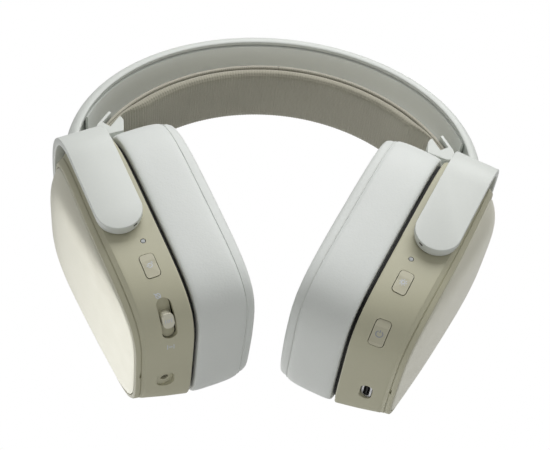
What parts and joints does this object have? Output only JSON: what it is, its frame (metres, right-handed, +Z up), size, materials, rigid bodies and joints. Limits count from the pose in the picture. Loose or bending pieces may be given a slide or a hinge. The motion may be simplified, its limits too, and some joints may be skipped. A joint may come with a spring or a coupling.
{
  "type": "over-ear headset",
  "caption": "Wireless over-ear headset: rigid arched headband, floating knit strap, tilting and swivelling oval ear cups with deep pads, keys and a slide switch on the rear edge.",
  "frame": {"origin": "the middle of the wearer's head, half way between the ear pads, level with a point 4 mm above the cup pivots", "axes": "+Z up as worn, the wearer faces +Y, the wearer's right cup is at +X"},
  "size_m": [0.2016, 0.098, 0.1815],
  "materials": {
    "white_shell": "soft satin off-white, very fine moulded grain",
    "liner": "matt light grey",
    "steel": "plain",
    "webbing": "tight woven elastic webbing",
    "knit": "ribbed knit, ribs run front to back",
    "cup": "greige, fine moulded grain",
    "plate": "satin, slightly pearly greige",
    "leatherette": "smooth pale artificial leather",
    "dark": "black",
    "scrim": "thin open mesh cloth",
    "board": "green circuit laminate",
    "lens": "smoked clear",
    "key": "cream, matt",
    "cell": "shrink wrap"
  },
  "bodies": {
    "headband": {"band_shell": "white_shell", "band_liner": "liner", "spring_core": "steel", "strap_end_left": "webbing", "strap_end_right": "webbing", "strap_clip_left": "white_shell", "strap_clip_right": "white_shell", "clip_screw_left": "steel", "clip_screw_right": "steel", "hinge_block_left": "white_shell", "hinge_block_right": "white_shell", "swivel_pin_left": "steel", "swivel_pin_right": "steel"},
    "strap": {"strap_carrier": "webbing", "strap_pad": "knit"},
    "yoke_left": {"yoke_left": "white_shell"},
    "yoke_right": {"yoke_right": "white_shell"},
    "cup_left": {"cup_shell_left": "cup", "outer_plate_left": "plate", "rear_pivot_left": "white_shell", "front_pivot_left": "white_shell", "pad_ring_left": "dark", "scrim_left": "scrim", "baffle_left": "dark", "driver_left": "dark", "driver_magnet_left": "steel", "ear_cushion_left": "leatherette", "circuit_board_left": "board", "status_light_left": "lens", "slider_floor_left": "cup", "audio_socket_left": "dark", "battery_cell_left": "cell"},
    "cup_right": {"cup_shell_right": "cup", "outer_plate_right": "plate", "rear_pivot_right": "white_shell", "front_pivot_right": "white_shell", "pad_ring_right": "dark", "scrim_right": "scrim", "baffle_right": "dark", "driver_right": "dark", "driver_magnet_right": "steel", "ear_cushion_right": "leatherette", "circuit_board_right": "board", "status_light_right": "lens", "charge_socket_right": "steel", "charge_tongue_right": "dark"},
    "mode_button": {"mode_button_left": "cup"},
    "slide_switch": {"slider_knob_left": "key"},
    "light_button": {"light_button_right": "cup"},
    "power_button": {"power_button_right": "cup"}
  },
  "joints": [
    {"name": "strap_lift", "type": "slide", "parent": "headband", "child": "strap", "axis": [0, 0, 1], "range_m": [0, 0.009], "stiffness_N_per_m": 150, "deforming": ["strap_end_left", "strap_end_right"]},
    {"name": "swivel_left", "type": "hinge", "parent": "headband", "child": "yoke_left", "pos_m": [-0.0919, 0, 0.04848], "axis": [-0.4258, 0, 0.9048], "range_deg": [-8, 8]},
    {"name": "swivel_right", "type": "hinge", "parent": "headband", "child": "yoke_right", "pos_m": [0.0919, 0, 0.04848], "axis": [0.4258, 0, 0.9048], "range_deg": [-8, 8]},
    {"name": "tilt_left", "type": "hinge", "parent": "yoke_left", "child": "cup_left", "pos_m": [-0.0672, 0, -0.004], "axis": [0, 1, 0], "range_deg": [0, 22]},
    {"name": "tilt_right", "type": "hinge", "parent": "yoke_right", "child": "cup_right", "pos_m": [0.0672, 0, -0.004], "axis": [0, -1, 0], "range_deg": [0, 22]},
    {"name": "mode_press", "type": "slide", "parent": "cup_left", "child": "mode_button", "axis": [-0.0331, 0.997, 0.0704], "range_m": [0, 0.0006], "stiffness_N_per_m": 1500, "springref_m": -0.0005},
    {"name": "light_press", "type": "slide", "parent": "cup_right", "child": "light_button", "axis": [0.0331, 0.997, 0.0704], "range_m": [0, 0.0006], "stiffness_N_per_m": 1500, "springref_m": -0.0005},
    {"name": "power_press", "type": "slide", "parent": "cup_right", "child": "power_button", "axis": [0.3569, 0.5454, 0.7584], "range_m": [0, 0.0006], "stiffness_N_per_m": 1500, "springref_m": -0.0005},
    {"name": "switch_slide", "type": "slide", "parent": "cup_left", "child": "slide_switch", "axis": [-0.2323, -0.8381, 0.4936], "range_m": [-0.0045, 0.0045]}
  ]
}
